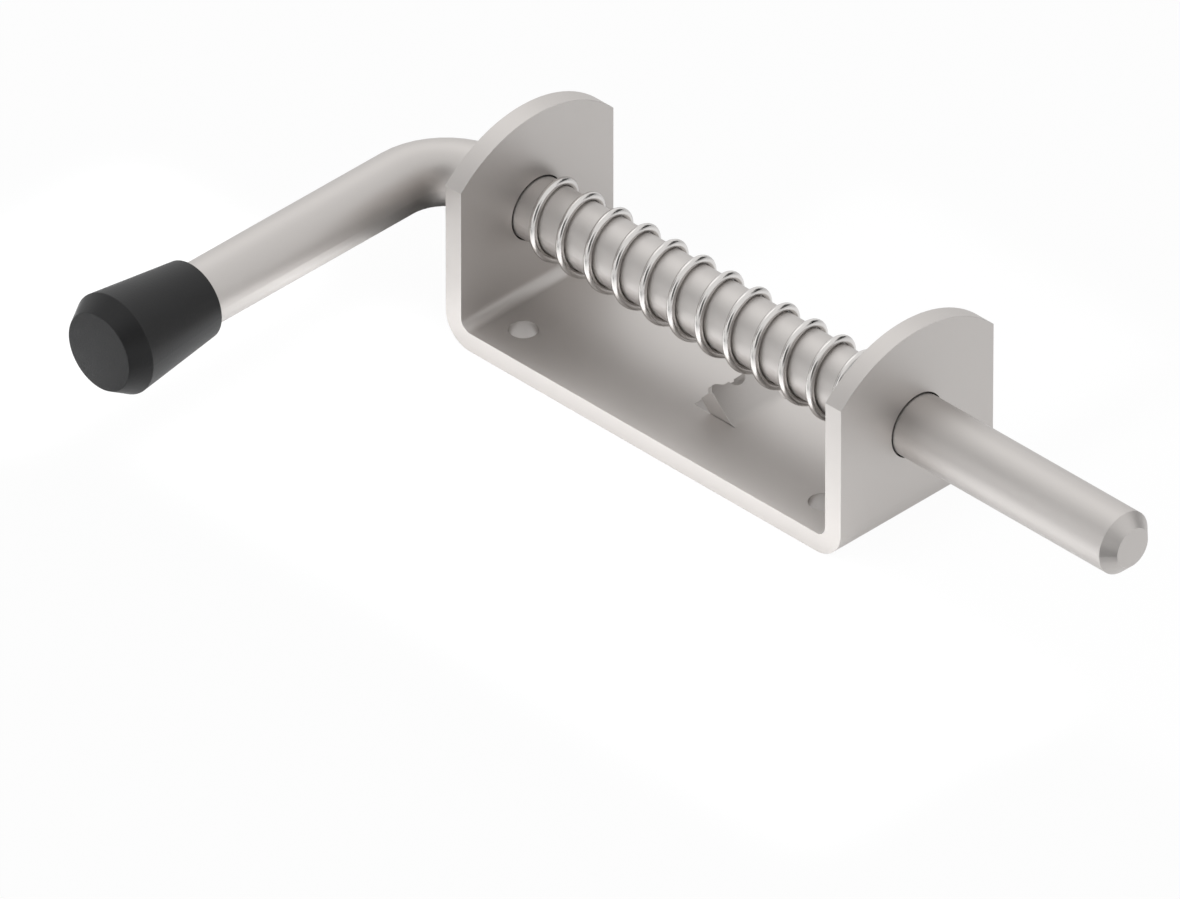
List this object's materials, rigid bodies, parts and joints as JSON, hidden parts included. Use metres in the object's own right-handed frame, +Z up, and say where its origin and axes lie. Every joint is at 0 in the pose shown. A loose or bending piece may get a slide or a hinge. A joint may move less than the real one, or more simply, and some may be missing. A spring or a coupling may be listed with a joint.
{
  "type": "spring loaded gate latch",
  "caption": "Spring loaded gate latch: a round bolt, bent into a handle with a rubber cap, slides and turns in a folded steel bracket whose catch tab holds it open.",
  "frame": {"origin": "centre of the four fixing holes, on the underside of the base", "axes": "+X along the bolt towards its nose, +Y across the base and away from the handle, +Z up from the surface it is fixed to"},
  "size_m": [0.2364, 0.138, 0.0535],
  "materials": {
    "bracket_steel": "satin",
    "bolt_steel": "satin",
    "cap_rubber": "semi-matte",
    "spring_wire": "bright drawn",
    "washer_steel": "zinc plated",
    "pin_steel": "phosphated"
  },
  "bodies": {
    "bracket": {"bracket": "bracket_steel", "spring": "spring_wire"},
    "follower": {"thrust_washer": "washer_steel"},
    "bolt": {"bolt": "bolt_steel", "handle_cap": "cap_rubber", "cross_pin": "pin_steel"}
  },
  "joints": [
    {"name": "bolt_slide", "type": "slide", "parent": "bracket", "child": "follower", "axis": [1, 0, 0], "range_m": [-0.0665, 0], "stiffness_N_per_m": 2190, "springref_m": 0.01, "deforming": ["spring"]},
    {"name": "handle_turn", "type": "hinge", "parent": "follower", "child": "bolt", "pos_m": [0, 0, 0.027], "axis": [-1, 0, 0], "range_deg": [-7, 187]}
  ]
}
